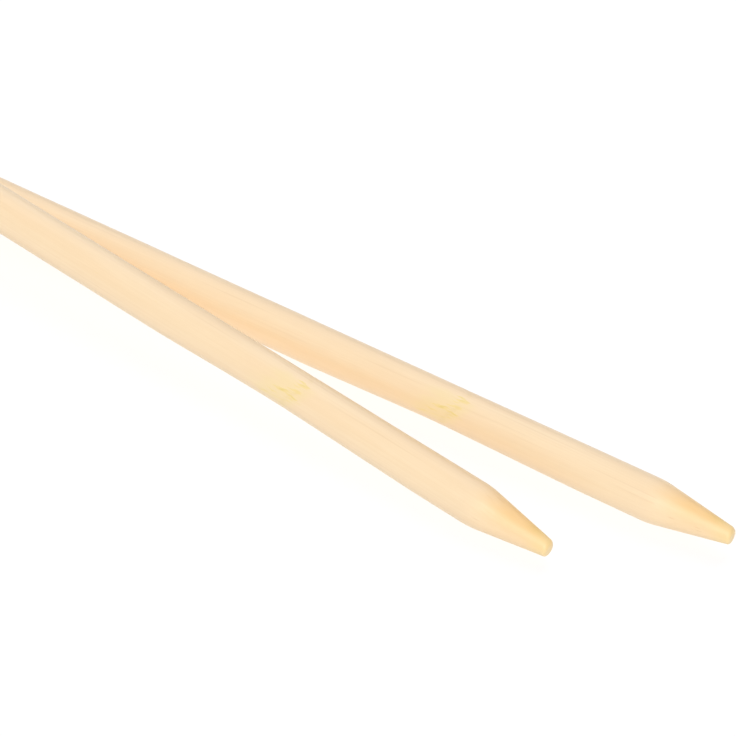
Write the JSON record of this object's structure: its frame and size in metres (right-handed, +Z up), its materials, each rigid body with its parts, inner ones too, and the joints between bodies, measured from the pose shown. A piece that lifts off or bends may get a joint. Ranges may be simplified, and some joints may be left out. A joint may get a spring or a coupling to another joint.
{
  "type": "straight knitting needles",
  "caption": "Pair of straight bamboo knitting needles, one laid across the other, each a tapered round stick with a turned wooden knob on its end.",
  "frame": {"origin": "on the surface that the pair lies on, under the middle of the pair's box", "axes": "+X along needle 1 from its knob towards its point, seen from above; +Z up; +Y to the left of the points"},
  "size_m": [0.3792, 0.0442, 0.0353],
  "materials": {
    "bamboo": "satin, sanded and waxed bamboo with fine lengthwise fibres",
    "knob_wood": "satin, turned pale hardwood, waxed"
  },
  "bodies": {
    "needle_1": {"needle_1_shaft": "bamboo", "needle_1_knob": "knob_wood"},
    "needle_2": {"needle_2_shaft": "bamboo", "needle_2_knob": "knob_wood"}
  },
  "joints": [
    {"name": "needle_swivel", "type": "hinge", "parent": "needle_1", "child": "needle_2", "pos_m": [-0.08838, 0.0043, 0.01412], "axis": [0, 0, -1], "range_deg": [0, 160]}
  ]
}
